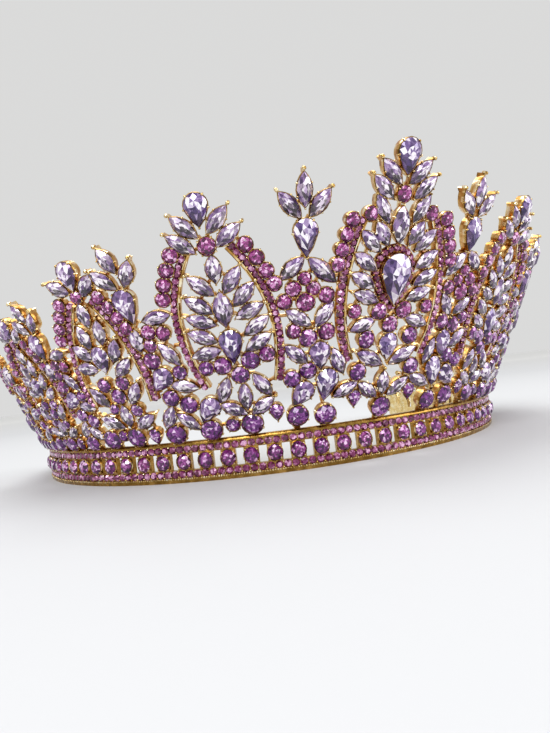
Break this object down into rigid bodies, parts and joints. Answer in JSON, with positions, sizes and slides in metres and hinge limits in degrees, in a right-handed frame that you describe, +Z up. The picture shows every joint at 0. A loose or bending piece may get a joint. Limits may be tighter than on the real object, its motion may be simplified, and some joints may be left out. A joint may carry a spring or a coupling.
{
  "type": "pageant crown",
  "caption": "Open-backed pageant crown: a pierced band under a flared openwork wall of spires and pointed arches, set with faceted stones.",
  "frame": {"origin": "on the axis of the band's ring, in the plane of the band's lower edge, where the head goes in", "axes": "+Z up along the ring's axis, -Y towards the tall front motif, +Y towards the open back"},
  "size_m": [0.176, 0.1306, 0.0672],
  "materials": {
    "gold": "bright gold plate, polished",
    "crystal": "faceted lavender crystal, foil-backed",
    "amethyst": "faceted amethyst crystal, foil-backed"
  },
  "bodies": {
    "root": {"crown_metal": "gold", "front_stones": "crystal", "front_foot_stone": "amethyst", "front_lower_pear": "crystal", "front_drop": "crystal", "front_leaf": "crystal", "front_top_pear": "crystal", "left_spire_1_spire_pear": "crystal", "left_spire_1_low_pear": "crystal", "left_arch_1_top_pear": "crystal", "left_arch_1_leaf": "crystal", "left_arch_1_plume_pear": "crystal", "left_spire_2_spire_pear": "crystal", "left_spire_2_belly_pear": "crystal", "left_arch_2_top_pear": "crystal", "left_arch_2_plume_pear": "crystal", "left_spire_3_spire_pear": "crystal", "left_spire_3_belly_pear": "crystal", "left_arch_3_top_pear": "crystal", "left_arch_3_plume_pear": "crystal", "left_spire_4_spire_pear": "crystal", "left_spire_4_belly_pear": "crystal", "left_arch_4_top_pear": "crystal", "left_arch_4_plume_pear": "crystal", "right_spire_1_spire_pear": "crystal", "right_spire_1_low_pear": "crystal", "right_arch_1_top_pear": "crystal", "right_arch_1_leaf": "crystal", "right_arch_1_plume_pear": "crystal", "right_spire_2_spire_pear": "crystal", "right_spire_2_belly_pear": "crystal", "right_arch_2_top_pear": "crystal", "right_arch_2_plume_pear": "crystal", "right_spire_3_spire_pear": "crystal", "right_spire_3_belly_pear": "crystal", "right_arch_3_top_pear": "crystal", "right_arch_3_plume_pear": "crystal", "right_spire_4_spire_pear": "crystal", "right_spire_4_belly_pear": "crystal", "right_arch_4_top_pear": "crystal", "right_arch_4_plume_pear": "crystal", "left_spire_1_stones": "crystal", "left_arch_1_stones": "crystal", "left_spire_2_stones": "crystal", "left_arch_2_stones": "crystal", "left_spire_3_stones": "crystal", "left_arch_3_stones": "crystal", "left_spire_4_stones": "crystal", "left_arch_4_stones": "crystal", "right_spire_1_stones": "crystal", "right_arch_1_stones": "crystal", "right_spire_2_stones": "crystal", "right_arch_2_stones": "crystal", "right_spire_3_stones": "crystal", "right_arch_3_stones": "crystal", "right_spire_4_stones": "crystal", "right_arch_4_stones": "crystal", "left_tail_stones": "crystal", "right_tail_stones": "crystal"}
  },
  "joints": []
}
